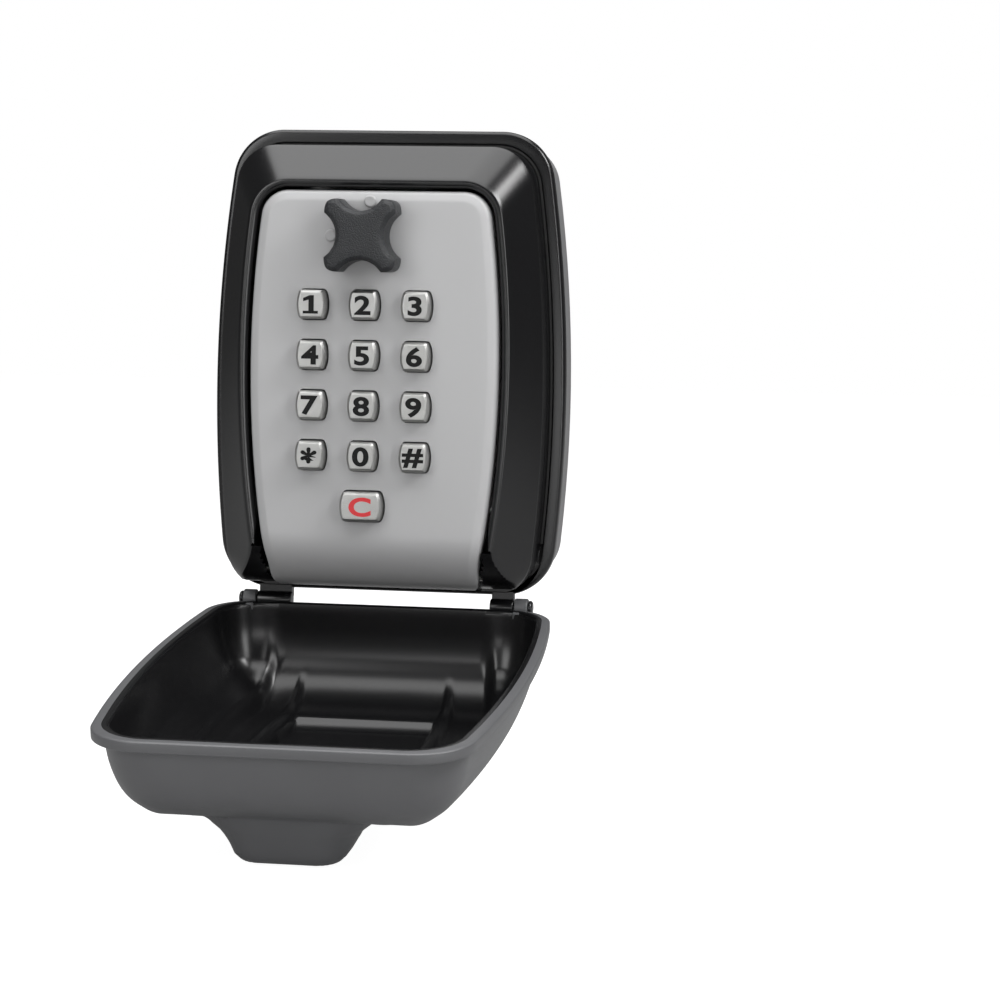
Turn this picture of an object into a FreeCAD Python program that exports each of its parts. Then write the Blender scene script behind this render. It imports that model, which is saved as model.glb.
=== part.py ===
"""Push-button key lock box: a wall box, a raised front frame, a drop-down door that
carries the mechanical code lock, and a hinged weather cover.

Frame: millimetres, +Z up, origin at the centre of the back (wall) face. The box stands
in front of the wall, so its front looks along -Y. "Ahead" below means a distance from
the wall towards the front. The weather cover is modelled closed and then swung open,
the door is closed, and the lock is withdrawn.
"""
import FreeCAD
import Part
import Sketcher
import math
import os
from FreeCAD import Placement, Rotation, Vector

# Driving dimensions. A cell of the same name holds each of them.
DIMENSIONS = {
    # outline of the wall box and of the flange of the front frame
    "body_half": 46.7, "body_top": 61.0, "body_bottom": -59.7, "body_corner": 13.6,
    "body_foot_corner": 13.6, "body_bow": 399.0, "body_widest": -7.8,
    # outline of the raised mound of the frame, which runs out into the rolled bottom
    "mound_half": 42.6, "mound_top": 56.6, "mound_bottom": -59.2, "mound_corner": 10.5,
    "mound_foot_corner": 11.5, "mound_bow": 395.0, "mound_widest": -7.8,
    # outline of the door
    "door_half": 32.5, "door_top": 44.8, "door_bottom": -58.0, "door_corner": 7.2,
    "door_foot_corner": 3.0, "door_bow": 299.0, "door_widest": 0.0,
    # outline of the cover's beaded rim, side wall, raised zone, centre panel, the boss
    # over the knob and that boss's flared foot
    "rim_half": 48.7, "rim_top": 63.2, "rim_bottom": -60.3, "rim_corner": 14.5,
    "rim_foot_corner": 11.0, "rim_bow": 400.0, "rim_widest": -3.0,
    "wall_half": 46.5, "wall_top": 61.0, "wall_bottom": -60.3, "wall_corner": 13.6,
    "wall_foot_corner": 11.2, "wall_bow": 398.0, "wall_widest": -4.0,
    "zone_half": 34.6, "zone_top": 47.0, "zone_bottom": -60.1, "zone_corner": 8.5,
    "zone_foot_corner": 4.0, "zone_bow": 330.0, "zone_widest": -4.0,
    "panel_half": 21.0, "panel_top": 46.0, "panel_bottom": -56.0, "panel_corner": 3.0,
    "panel_foot_corner": 3.0, "panel_bow": 500.0, "panel_widest": 0.0,
    "boss_half": 13.6, "boss_top": 46.9, "boss_bottom": 18.2, "boss_corner": 6.5,
    "boss_foot_corner": 6.5, "boss_bow": 300.0, "boss_widest": 32.5,
    "skirt_half": 22.5, "skirt_top": 50.0, "skirt_bottom": 9.0, "skirt_corner": 11.0,
    "skirt_foot_corner": 11.0, "skirt_bow": 300.0, "skirt_widest": 30.0,
    # outline of a digit key and of the wide clear key
    "key_half": 3.8, "key_top": 3.7, "key_bottom": -3.7, "key_corner": 0.8,
    "key_foot_corner": 0.8, "key_bow": 9.0, "key_widest": 0.0,
    "clear_half": 5.5, "clear_top": 3.8, "clear_bottom": -3.8, "clear_corner": 1.0,
    "clear_foot_corner": 1.0, "clear_bow": 9.0, "clear_widest": 0.0,
    # how far ahead of the wall things stand
    "housing_front": 25.0, "flange_front": 28.0, "crease_front": 38.6,
    "slope_front": 48.2, "door_front": 49.3, "rim_back": 28.3,
    # walls
    "housing_wall": 2.5, "door_skin": 2.5,
    "door_gap": 0.8, "running_gap": 0.05, "cover_tilt": 2.5, "swing_room": 30.7,
    # the rolled bottom of the door and frame
    "roll_radius": 15.0, "roll_height": -43.0, "roll_front": 34.3,
    # keys and knob
    "keys_across": -1.9, "first_row": 15.6, "key_pitch_x": 13.55, "key_pitch_z": 12.85,
    "key_proud": 3.6, "shank_radius": 1.6,
    "coil_radius": 2.3, "wire_radius": 0.25, "coil_pitch": 1.15, "coil_turns": 3.5,
    "coil_back": 40.9, "boss_across": -1.2,
    "knob_height": 33.2, "knob_side": 18.4, "knob_thick": 9.0, "spindle_radius": 2.5,
    # lock case and what slides in it
    "case_half": 24.5, "case_top": 42.0, "case_bottom": -42.4, "latch_travel": 5.0,
    "cam_throw": 3.536, "reset_travel": 1.5, "keeper_front": 38.05,
    # hinges
    "cover_axis_front": 28.3, "cover_axis_height": -62.8, "cover_open": 99.0,
    "door_axis_front": 34.5, "door_axis_height": -54.3, "door_pin_radius": 1.2,
    "cover_pin_radius": 1.1, "knuckle_radius": 2.1, "lug_radius": 2.4,
    # offsets that shrink (negative) or grow an outline
    "housing_inset": -0.5, "housing_inner": -3.0, "housing_back_inset": -2.3,
    "housing_back_inner": -4.9, "gasket_outer": -5.3, "gasket_inner": -7.2,
    "seal_groove": 1.0, "seal_outer": 0.9, "seal_inner": 0.1, "mound_inner": -2.5,
    "slope_edge": 2.8, "cavity_edge": 3.2, "well_outside": 3.0, "ledge_inner": -1.8,
    "door_inner": -2.5, "key_clearance": 0.35,
    "dome_low": -1.2, "dome_middle": -4.2, "dome_high": -9.2, "wall_inner": -1.5,
    "dome_low_inner": -2.6, "dome_middle_inner": -5.4, "dome_high_inner": -9.9,
    "zone_inner": -1.6, "panel_inner": -1.8, "skirt_inner": -1.6,
    "boss_flare": 3.6, "boss_neck": 1.2, "boss_edge": -1.0,
    "boss_flare_inner": 1.9, "boss_neck_inner": -0.4, "boss_edge_inner": -1.7,
    # wall screws and the screws that hold the frame to the wall box
    "wall_screw_x": 25.0, "wall_screw_z": 38.0, "wall_hole_radius": 2.75,
    "top_screw_x": 32.0, "top_screw_z": 49.0, "foot_screw_x": 35.2, "foot_screw_z": -40.0,
}

doc = FreeCAD.newDocument("KeyLockBox")
sheet = doc.addObject("Spreadsheet::Sheet", "dims")
sheet.Label = "dims"
for row, (alias, size) in enumerate(DIMENSIONS.items(), start=1):
    sheet.set(f"A{row}", alias)
    sheet.set(f"B{row}", str(size))
    sheet.setAlias(f"B{row}", alias)
doc.recompute()

FACING_FRONT = Rotation(Vector(1, 0, 0), 90)
pieces = []


def cell(name):
    """The value of a sheet cell."""
    return float(sheet.get(name))


def bind(thing, **expressions):
    """Bind properties of an object to expressions on the sheet."""
    for prop, expression in expressions.items():
        thing.setExpression(prop.replace("__", "."), str(expression))
    return thing


def outline(base, ahead, grow=None, across="0", height="0"):
    """A sketch facing the front: bowed sides, flat top and bottom, round corners.

    base names the cells that hold its sizes, grow a cell by which it is offset.
    """
    extra = cell(grow) if grow else 0.0
    half = cell(base + "_half") + extra
    top = cell(base + "_top") + extra
    bottom = cell(base + "_bottom") - extra
    corner = cell(base + "_corner") + extra
    foot = cell(base + "_foot_corner") + extra
    bow = cell(base + "_bow") + extra
    widest = cell(base + "_widest")

    hub = half - bow
    corner_x = hub + math.sqrt((bow - corner) ** 2 - (top - corner - widest) ** 2)
    foot_x = hub + math.sqrt((bow - foot) ** 2 - (widest - bottom - foot) ** 2)
    up = math.atan2(top - corner - widest, corner_x - hub)
    down = math.atan2(bottom + foot - widest, foot_x - hub)

    def arc(x, z, radius, start, end):
        circle = Part.Circle(Vector(x, z, 0), Vector(0, 0, 1), radius)
        return Part.ArcOfCircle(circle, start, end)

    half_turn = math.pi
    sketch = doc.addObject("Sketcher::SketchObject", base + "_outline")
    sketch.addGeometry([
        arc(hub, widest, bow, down, up),
        arc(corner_x, top - corner, corner, up, half_turn / 2),
        Part.LineSegment(Vector(corner_x, top, 0), Vector(-corner_x, top, 0)),
        arc(-corner_x, top - corner, corner, half_turn / 2, half_turn - up),
        arc(-hub, widest, bow, half_turn - up, half_turn - down),
        arc(-foot_x, bottom + foot, foot, half_turn - down, 1.5 * half_turn),
        Part.LineSegment(Vector(-foot_x, bottom, 0), Vector(foot_x, bottom, 0)),
        arc(foot_x, bottom + foot, foot, 1.5 * half_turn, 2 * half_turn + down),
    ], False)
    start, end, centre = 1, 2, 3
    for index in range(8):
        following = (index + 1) % 8
        sketch.addConstraint(Sketcher.Constraint("Tangent", index, end, following, start))
    sketch.addConstraint(Sketcher.Constraint("Horizontal", 2))
    sketch.addConstraint(Sketcher.Constraint("Horizontal", 6))
    sketch.addConstraint(Sketcher.Constraint("Equal", 1, 3))
    sketch.addConstraint(Sketcher.Constraint("Equal", 5, 7))
    sketch.addConstraint(Sketcher.Constraint("Equal", 0, 4))
    offset = f" + dims.{grow}" if grow else ""
    sizes = [
        ("corner", ("Radius", 1, corner), f"dims.{base}_corner" + offset),
        ("foot", ("Radius", 5, foot), f"dims.{base}_foot_corner" + offset),
        ("bow", ("Radius", 0, bow), f"dims.{base}_bow" + offset),
        ("right_hub", ("DistanceX", 0, centre, -1, 1, -hub), f"dims.{base}_bow - dims.{base}_half"),
        ("left_hub", ("DistanceX", -1, 1, 4, centre, -hub), f"dims.{base}_bow - dims.{base}_half"),
        ("crown", ("DistanceY", -1, 1, 2, start, top), f"dims.{base}_top" + offset),
        ("right_rise", ("DistanceY", 0, centre, 2, start, top - widest),
         f"dims.{base}_top - dims.{base}_widest" + offset),
        ("left_rise", ("DistanceY", 4, centre, 2, end, top - widest),
         f"dims.{base}_top - dims.{base}_widest" + offset),
        ("fall", ("DistanceY", 6, start, 0, centre, widest - bottom),
         f"dims.{base}_widest - dims.{base}_bottom" + offset),
    ]
    for name, definition, expression in sizes:
        index = sketch.addConstraint(Sketcher.Constraint(*definition))
        sketch.renameConstraint(index, name)
        sketch.setExpression("Constraints." + name, expression)
    sketch.Placement = Placement(Vector(0, 0, 0), FACING_FRONT)
    bind(sketch, Placement__Base__x=across, Placement__Base__y=f"-({ahead})",
         Placement__Base__z=height)
    return sketch


def slab(base, back, front, grow=None, across="0", height="0"):
    """An outline made solid between two distances ahead of the wall."""
    solid = doc.addObject("Part::Extrusion", base + "_slab")
    solid.Base = outline(base, back, grow, across, height)
    solid.DirMode = "Normal"
    solid.Solid = True
    return bind(solid, LengthFwd=f"({front}) - ({back})")


def flare(sections, across="0"):
    """A solid whose outline changes between the sections (base, ahead, grow)."""
    solid = doc.addObject("Part::Loft", "flare")
    solid.Sections = [outline(base, ahead, grow, across) for base, ahead, grow in sections]
    solid.Solid = True
    solid.Ruled = True
    return solid


def block(across, ahead, height):
    """A box between pairs of expressions: across (x), ahead of the wall, height (z)."""
    solid = doc.addObject("Part::Box", "block")
    return bind(
        solid,
        Length=f"({across[1]}) - ({across[0]})", Width=f"({ahead[1]}) - ({ahead[0]})",
        Height=f"({height[1]}) - ({height[0]})", Placement__Base__x=across[0],
        Placement__Base__y=f"-({ahead[1]})", Placement__Base__z=height[0])


def pin(radius, back, front, across, height):
    """A cylinder that points to the front."""
    solid = doc.addObject("Part::Cylinder", "pin")
    solid.Placement = Placement(Vector(0, 0, 0), FACING_FRONT)
    return bind(solid, Radius=radius, Height=f"({front}) - ({back})",
                Placement__Base__x=across, Placement__Base__y=f"-({back})",
                Placement__Base__z=height)


def axle(radius, left, right, ahead, height):
    """A cylinder that lies across, from left to right."""
    solid = doc.addObject("Part::Cylinder", "axle")
    solid.Placement = Placement(Vector(0, 0, 0), Rotation(Vector(0, 1, 0), 90))
    return bind(solid, Radius=radius, Height=f"({right}) - ({left})",
                Placement__Base__x=left, Placement__Base__y=f"-({ahead})",
                Placement__Base__z=height)


def upright(radius, low, high, across, ahead):
    """A cylinder that stands upright."""
    solid = doc.addObject("Part::Cylinder", "upright")
    return bind(solid, Radius=radius, Height=f"({high}) - ({low})", Placement__Base__x=across,
                Placement__Base__y=f"-({ahead})", Placement__Base__z=low)


def fuse(*solids):
    joined = doc.addObject("Part::MultiFuse", "joined")
    joined.Shapes = list(solids)
    return joined


def cut(base, *tools):
    result = doc.addObject("Part::Cut", "cut")
    result.Base = base
    result.Tool = tools[0] if len(tools) == 1 else fuse(*tools)
    return result


def common(first, second):
    result = doc.addObject("Part::Common", "common")
    result.Base = first
    result.Tool = second
    return result


def soften(solid, radius, chosen, kind="Part::Fillet"):
    """Round or chamfer the edges that chosen(edge) picks."""
    doc.recompute()
    result = doc.addObject(kind, "softened")
    result.Base = solid
    numbers = [i for i, edge in enumerate(solid.Shape.Edges, start=1) if chosen(edge)]
    result.Edges = [(number, radius, radius) for number in numbers]
    return result


def at_front(ahead):
    """Picks the edges that lie in the plane this far ahead of the wall."""
    def chosen(edge):
        box = edge.BoundBox
        return abs(box.YMin + ahead) < 1e-4 and abs(box.YMax + ahead) < 1e-4
    return chosen


def piece(name, solid):
    """Names a finished sub-part."""
    solid.Label = name
    pieces.append(solid)
    return solid


def rolled(radius, back, ahead="dims.roll_front", centre="dims.roll_height", tilt="0"):
    """The space inside a rolled bottom: a quarter roll below a plain upper part.

    The roll's centre is at ahead and centre; the space starts at back. The upper part's
    front leans back from the roll by tilt degrees.
    """
    roll = axle(radius, "-50", "50", ahead, centre)
    below = block(("-50", "50"), (back, ahead), (f"{centre} - ({radius})", centre))
    above = doc.addObject("Part::Box", "leaning_block")
    degrees = cell(tilt.replace("dims.", "")) if tilt != "0" else 0.0
    above.Placement = Placement(Vector(0, 0, 0), Rotation(Vector(1, 0, 0), -degrees))
    bind(above, Length="100", Width=f"{ahead} + ({radius}) - ({back})", Height="120",
         Placement__Base__x="-50", Placement__Base__y=f"-({ahead}) - ({radius}) * cos({tilt})",
         Placement__Base__z=f"{centre} + ({radius}) * sin({tilt})")
    return fuse(roll, below, above)


def group(solids):
    """Several separate solids as one sub-part."""
    compound = doc.addObject("Part::Compound", "group")
    compound.Links = list(solids)
    return compound


FRAME_SCREWS = [
    ("-dims.top_screw_x", "dims.top_screw_z"), ("dims.top_screw_x", "dims.top_screw_z"),
    ("-dims.foot_screw_x", "dims.foot_screw_z"), ("dims.foot_screw_x", "dims.foot_screw_z"),
]
CASE_SCREWS = [("-20.5", "37"), ("20.5", "37"), ("-20.5", "-37"), ("20.5", "-37")]
KEEPER_SCREWS = ["dims.keys_across - 10.5", "dims.keys_across + 10.5"]
KEY_ROWS = [["1", "2", "3"], ["4", "5", "6"], ["7", "8", "9"], ["star", "0", "hash"]]

# Each key: its name, outline, place across and height.
KEYS = []
for row, names in enumerate(KEY_ROWS):
    for column, name in enumerate(names):
        KEYS.append((name, "key", f"dims.keys_across + {column - 1} * dims.key_pitch_x",
                     f"dims.first_row - {row} * dims.key_pitch_z"))
KEYS.append(("clear", "clear", "dims.keys_across",
             f"dims.first_row - {len(KEY_ROWS)} * dims.key_pitch_z"))


def rear_housing():
    """The wall box: drafted sides, rounded back edges, columns for the long screws."""
    shell = flare([("body", "0", "housing_back_inset"),
                   ("body", "dims.housing_front", "housing_inset")])
    shell = soften(shell, 3.0, at_front(0.0))
    hollow = flare([("body", "dims.housing_wall", "housing_back_inner"),
                    ("body", "dims.housing_front + 1", "housing_inner")])
    columns = [pin("3.2", "1", "dims.housing_front", x, z) for x, z in FRAME_SCREWS]
    holes = [pin("1.55", "-1", "dims.housing_front + 1", x, z) for x, z in FRAME_SCREWS]
    holes += [pin("2.6", "-1", "2.2", x, z) for x, z in FRAME_SCREWS]
    for x in ("-dims.wall_screw_x", "dims.wall_screw_x"):
        for z in ("-dims.wall_screw_z", "dims.wall_screw_z"):
            holes.append(pin("dims.wall_hole_radius", "-1", "4", x, z))
    groove = cut(slab("body", "-1", "0.8", "gasket_outer"),
                 slab("body", "-2", "2", "gasket_inner"))
    body = fuse(cut(shell, hollow), *columns)
    piece("rear_housing", cut(body, groove, *holes))
    gasket = cut(slab("body", "0", "0.8", "gasket_outer"),
                 slab("body", "-1", "2", "gasket_inner"))
    piece("wall_gasket", gasket)


def front_frame():
    """The raised black frame: flange, mound, door well, and the cover's knuckles."""
    flange = soften(slab("body", "dims.housing_front", "dims.flange_front"), 1.2,
                    at_front(cell("flange_front")))
    mound = fuse(
        slab("mound", "dims.housing_front", "dims.crease_front"),
        flare([("mound", "dims.crease_front", None), ("door", "dims.slope_front", "slope_edge")]))
    mound = common(mound, rolled("dims.roll_radius - 0.6", "dims.housing_front - 1"))
    cavity = fuse(
        slab("mound", "dims.housing_front - 1", "37", "mound_inner"),
        flare([("mound", "37", "mound_inner"), ("door", "44.8", "cavity_edge")]))
    cavity = cut(cavity, slab("door", "20", "50", "well_outside"),
                 block(("-50", "50"), ("20", "50"), ("-70", "-47")))
    bosses = [pin("2.9", "dims.flange_front - 1", "38", x, z) for x, z in FRAME_SCREWS]
    ledge = cut(slab("door", "41.4", "42.9", "well_outside"),
                slab("door", "41", "43", "ledge_inner"),
                block(("-50", "50"), ("41", "43"), ("-70", "-36")))
    knuckles = []
    for left, right in (("-34.4", "-25.2"), ("28.2", "34.4")):
        knuckles.append(axle("dims.knuckle_radius", left, right, "dims.cover_axis_front",
                             "dims.cover_axis_height"))
        knuckles.append(block((left, right), ("25.2", "27.9"),
                              ("dims.cover_axis_height", "-58.5")))
    well = fuse(slab("door", "20", "52", "door_gap"),
                block(("-dims.swing_room", "dims.swing_room"), ("30", "52"), ("-58.8", "-43")))
    groove = cut(slab("mound", "26.5", "30", "seal_groove"), slab("mound", "26", "31"),
                 block(("-50", "50"), ("26", "31"), ("-70", "-46")))
    holes = [pin("1.27", "20", "36.5", x, z) for x, z in FRAME_SCREWS]
    holes.append(axle("dims.door_pin_radius + 0.02", "-32.5", "32.5", "dims.door_axis_front",
                      "dims.door_axis_height"))
    holes.append(axle("dims.cover_pin_radius + 0.02", "-36", "36", "dims.cover_axis_front",
                      "dims.cover_axis_height"))
    holes += [upright("1.22", "46.3", "47.9", x, "dims.keeper_front") for x in KEEPER_SCREWS]
    bolt_slot = block(("dims.keys_across - 6.6", "dims.keys_across + 6.6"), ("36.8", "39.3"),
                      ("43", "49"))
    body = fuse(cut(fuse(flange, mound), cavity), *bosses)
    body = fuse(cut(body, well), ledge, *knuckles)
    piece("front_frame", cut(body, groove, bolt_slot, *holes))

    seal = cut(slab("mound", "26.5", "27.7", "seal_outer"),
               slab("mound", "26", "31", "seal_inner"),
               block(("-50", "50"), ("26", "31"), ("-70", "-46")))
    piece("frame_seal", seal)


def fixed_hardware():
    """Screws, pins, the latch keeper and the key hook, all fixed to the wall box."""
    screws = []
    for x, z in FRAME_SCREWS:
        screws.append(fuse(pin("2.5", "0.2", "2.1", x, z), pin("1.5", "2.1", "25", x, z),
                           pin("1.25", "25", "36", x, z)))
    piece("frame_screws", group(screws))

    piece("door_hinge_pin", axle("dims.door_pin_radius", "-32.3", "32.3",
                                 "dims.door_axis_front", "dims.door_axis_height"))
    for side, ends, head in (("left", ("-38.5", "-25.6"), ("-39.4", "-38.5")),
                             ("right", ("28.6", "38.5"), ("38.5", "39.4"))):
        shaft = axle("dims.cover_pin_radius", *ends, "dims.cover_axis_front",
                     "dims.cover_axis_height")
        dome = axle("1.9", *head, "dims.cover_axis_front", "dims.cover_axis_height")
        outer = max(abs(float(value)) for value in head)
        dome = soften(dome, 0.7, lambda edge, at=outer: abs(abs(edge.BoundBox.XMin) - at) < 1e-4
                      and edge.BoundBox.XLength < 1e-4)
        piece(f"cover_pin_{side}", fuse(shaft, dome))

    middle = "dims.keys_across"
    keeper = cut(block((f"{middle} - 14", f"{middle} + 14"), ("34.5", "41.5"),
                       ("dims.door_top + 3", "dims.door_top + 4.5")),
                 block((f"{middle} - 6.6", f"{middle} + 6.6"), ("36.8", "39.3"), ("40", "60")))
    piece("latch_keeper", cut(keeper, *[upright("1.22", "40", "60", x, "dims.keeper_front")
                                        for x in KEEPER_SCREWS]))
    screws = [fuse(upright("1.2", "46.4", "49.3", x, "dims.keeper_front"),
                   upright("2.2", "49.3", "50.5", x, "dims.keeper_front"))
              for x in KEEPER_SCREWS]
    piece("keeper_screws", group(screws))

    hook = fuse(block(("-6", "6"), ("2.5", "4"), ("24", "38")),
                pin("1.4", "4", "11", "0", "29"), block(("-1.4", "1.4"), ("9.6", "11"), ("29", "34")))
    piece("key_hook", hook)


def weather_cover():
    """The hinged cover: a thin shell with a raised zone, a panel and a knob boss."""
    zone_roll = ("dims.rim_back + 8.4", "-41.5", "dims.cover_tilt")
    outside = fuse(
        slab("rim", "dims.rim_back", "31.1"),
        flare([("wall", "31", None), ("wall", "39", "dome_low"), ("wall", "44.8", "dome_middle"),
               ("wall", "50.2", "dome_high")]),
        common(slab("zone", "dims.rim_back", "56"), rolled("18.6", "28", *zone_roll)),
        common(slab("panel", "40", "59", None, "dims.boss_across"),
               rolled("11.5", "39", "46.8", "-44.5", "dims.cover_tilt")),
        flare([("skirt", "49.9", None), ("boss", "54.4", "boss_flare"),
               ("boss", "58.4", "boss_neck"), ("boss", "61.4", None),
               ("boss", "62.3", "boss_edge")], "dims.boss_across"))
    inside = fuse(
        flare([("wall", "28", "wall_inner"), ("wall", "38.8", "dome_low_inner"),
               ("wall", "44", "dome_middle_inner"), ("wall", "48.7", "dome_high_inner")]),
        common(slab("zone", "28", "56", "zone_inner"), rolled("17", "27", *zone_roll)),
        common(slab("panel", "40", "59", "panel_inner", "dims.boss_across"),
               rolled("7", "39", "49.5", "-35.5", "dims.cover_tilt")),
        flare([("skirt", "48.5", "skirt_inner"), ("boss", "53", "boss_flare_inner"),
               ("boss", "57.2", "boss_neck_inner"), ("boss", "60.6", "boss_edge_inner")],
              "dims.boss_across"))
    lugs = []
    bores = []
    for left, right in (("-38.2", "-34.7"), ("34.7", "38.2")):
        lugs.append(axle("dims.lug_radius", left, right, "dims.cover_axis_front",
                         "dims.cover_axis_height"))
        lugs.append(block((left, right), ("28.4", "31.2"), ("dims.cover_axis_height", "-57.6")))
        bores.append(axle("dims.cover_pin_radius + dims.running_gap", f"{left} - 1", f"{right} + 1",
                          "dims.cover_axis_front", "dims.cover_axis_height"))
    cover = cut(fuse(cut(outside, inside), *lugs), *bores)
    hinge = Vector(0, -cell("cover_axis_front"), cell("cover_axis_height"))
    cover.Placement = Placement(Vector(0, 0, 0), Rotation(Vector(1, 0, 0), cell("cover_open")),
                                hinge)
    piece("weather_cover", cover)


def door_plate():
    """The door: a shallow pan with a rolled bottom, key holes and hinge barrels."""
    skin = common(slab("door", "30", "dims.door_front"), rolled("dims.roll_radius", "30"))
    hollow = common(slab("door", "26", "dims.door_front - dims.door_skin", "door_inner"),
                    rolled("dims.roll_radius - dims.door_skin", "26"))
    behind = block(("-50", "50"), ("26", "43.3"), ("-36", "60"))
    barrels = []
    for left, right in (("-26", "-19"), ("19", "26")):
        barrels.append(axle("2.8", left, right, "dims.door_axis_front", "dims.door_axis_height"))
    dots = [pin("1.5", "dims.door_front - 0.5", "dims.door_front + 0.5", x, z)
            for x, z in (("-1", "41.7"), ("-11.9", "dims.knob_height"))]
    holes = [slab(base, "44", "52", "key_clearance", x, z) for _, base, x, z in KEYS]
    holes.append(pin("4.02", "44", "52", "dims.keys_across", "dims.knob_height"))
    holes += [pin("1.27", "46", "48.7", x, z) for x, z in CASE_SCREWS]
    holes.append(axle("dims.door_pin_radius + dims.running_gap", "-30", "30",
                      "dims.door_axis_front", "dims.door_axis_height"))
    piece("door_plate", cut(fuse(cut(skin, hollow, behind), *barrels, *dots), *holes))


def lock_case():
    """The tray behind the door that guides the keys, its back cover and screws."""
    half = "dims.case_half"
    top = "dims.case_top"
    bottom = "dims.case_bottom"
    inner = (f"-({half} - 1.5)", f"{half} - 1.5")
    inner_height = (f"{bottom} + 1.5", f"{top} - 1.5")
    tray = cut(block((f"-{half}", half), ("33.7", "46.8"), (bottom, top)),
               block(inner, ("40.5", "47"), inner_height), block(inner, ("33", "39"), inner_height))
    columns = [pin("2.6", "33.7", "46.8", x, z) for x, z in CASE_SCREWS]
    holes = [pin("1.3", "30", "48", x, z) for x, z in CASE_SCREWS]
    holes += [pin("dims.shank_radius + dims.running_gap", "38", "41", x, z) for _, _, x, z in KEYS]
    holes.append(pin("6.3", "38", "41", "dims.keys_across", "dims.knob_height"))
    holes.append(block(("dims.keys_across - 6.3", "dims.keys_across + 6.3"), ("37.1", "39"),
                       (f"{top} - 2", f"{top} + 1")))
    piece("lock_case", cut(fuse(tray, *columns), *holes))

    lid = cut(block((f"-{half}", half), ("32.2", "33.7"), (bottom, top)),
              *[pin("1.3", "30", "48", x, z) for x, z in CASE_SCREWS])
    piece("lock_back_cover", lid)
    screws = [fuse(pin("2.4", "30.8", "32.2", x, z), pin("1.25", "32.2", "48.5", x, z))
              for x, z in CASE_SCREWS]
    piece("lock_screws", group(screws))


def knob_and_cam():
    """The four-lobed knob, its spindle, bush and clip, and the cam with its drive pin."""
    x, z = "dims.keys_across", "dims.knob_height"
    back = "dims.door_front + 0.5"
    side = "dims.knob_side / 2"
    body = block((f"{x} - {side}", f"{x} + {side}"), (back, f"{back} + dims.knob_thick"),
                 (f"{z} - {side}", f"{z} + {side}"))
    body = soften(body, 2.2, lambda edge: edge.BoundBox.YLength > 5)
    scoops = [pin("6.6", "45", "65", f"{x} + {across} * 12.8", f"{z} + {up} * 12.8")
              for across, up in ((1, 0), (-1, 0), (0, 1), (0, -1))]
    body = cut(body, *scoops)
    body = soften(body, 0.9, at_front(cell("door_front") + 0.5 + cell("knob_thick")),
                  "Part::Chamfer")
    piece("knob", cut(body, pin("dims.spindle_radius + 0.02", "45", "55", x, z)))
    piece("spindle", fuse(pin("dims.spindle_radius", "40.6", "54.9", x, z),
                          pin("1.5", "39.2", "40.6", x, z)))
    piece("spindle_bush", cut(fuse(pin("4", "46.8", "dims.door_front", x, z),
                                   pin("5.2", "45.8", "46.8", x, z)),
                              pin("dims.spindle_radius + dims.running_gap", "40", "52", x, z)))
    piece("spindle_clip", cut(pin("4.2", "44.9", "45.7", x, z),
                              pin("dims.spindle_radius + 0.02", "40", "52", x, z),
                              block((f"{x} - 1.6", f"{x} + 1.6"), ("44", "46"), (f"{z} - 6", z))))
    throw = "dims.cam_throw * 0.7071"
    piece("cam_disc", fuse(
        cut(pin("6.1", "39.1", "40.4", x, z), pin("1.52", "38", "41", x, z)),
        pin("1.2", "37.5", "39.1", f"{x} + {throw}", f"{z} - {throw}")))


def slides():
    """The gate plate with its bolt and code tabs, and the reset plate."""
    x, z = "dims.keys_across", "dims.knob_height"
    digits = KEYS[:-1]
    reach = "(dims.shank_radius + 0.3)"
    slots = [block((f"{across} - {reach}", f"{across} + {reach}"), ("37", "39"),
                   (f"{height} - {reach} - dims.latch_travel", f"{height} + {reach}"))
             for _, _, across, height in digits]
    throw = "dims.cam_throw * 0.7071"
    slots.append(block((f"{x} + {throw} - 1.5", f"{x} + dims.cam_throw + 1.5"), ("37", "39"),
                       (f"{z} - {throw} - 1.5", f"{z} - {throw} + 1.5")))
    plate = fuse(block(("-22", "22"), ("37.3", "38.8"), ("-33.5", "28.5")),
                 block(("-16", "16"), ("37.3", "38.8"), ("28.5", "34.5")))
    piece("gate_plate", cut(plate, *slots))
    piece("latch_bolt", block((f"{x} - 6", f"{x} + 6"), ("37.3", "38.8"),
                              ("34.5", "dims.door_top - 0.6")))
    tabs = [block((f"{across} + 2.3", f"{across} + 4.3"), ("36.5", "37.3"),
                  (f"{height} - 4", f"{height} - 1")) for _, _, across, height in digits]
    piece("code_tabs", group(tabs))
    openings = [block((f"{across} - {reach}", f"{across} + {reach}"), ("35", "37"),
                      (f"{height} - {reach} - dims.reset_travel", f"{height} + {reach}"))
                for _, _, across, height in digits]
    piece("reset_plate", cut(block(("-21", "21"), ("35.2", "36.2"), ("-33", "22")), *openings))


def keys():
    """The keys, each a bevelled cap on a flange and shank, and their springs."""
    for name, base, x, z in KEYS:
        half = cell(base + "_half") + 1.0
        front = cell("door_front") + cell("key_proud")
        cap = soften(slab(base, "46", "dims.door_front + dims.key_proud", None, x, z), 0.6,
                     at_front(front), "Part::Chamfer")
        flange = block((f"{x} - {half}", f"{x} + {half}"), ("45.5", "46.7"),
                       (f"{z} - 4.7", f"{z} + 4.7"))
        piece("key_" + name, fuse(cap, flange, pin("dims.shank_radius", "36", "46", x, z)))
        spring(name, x, z)


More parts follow.
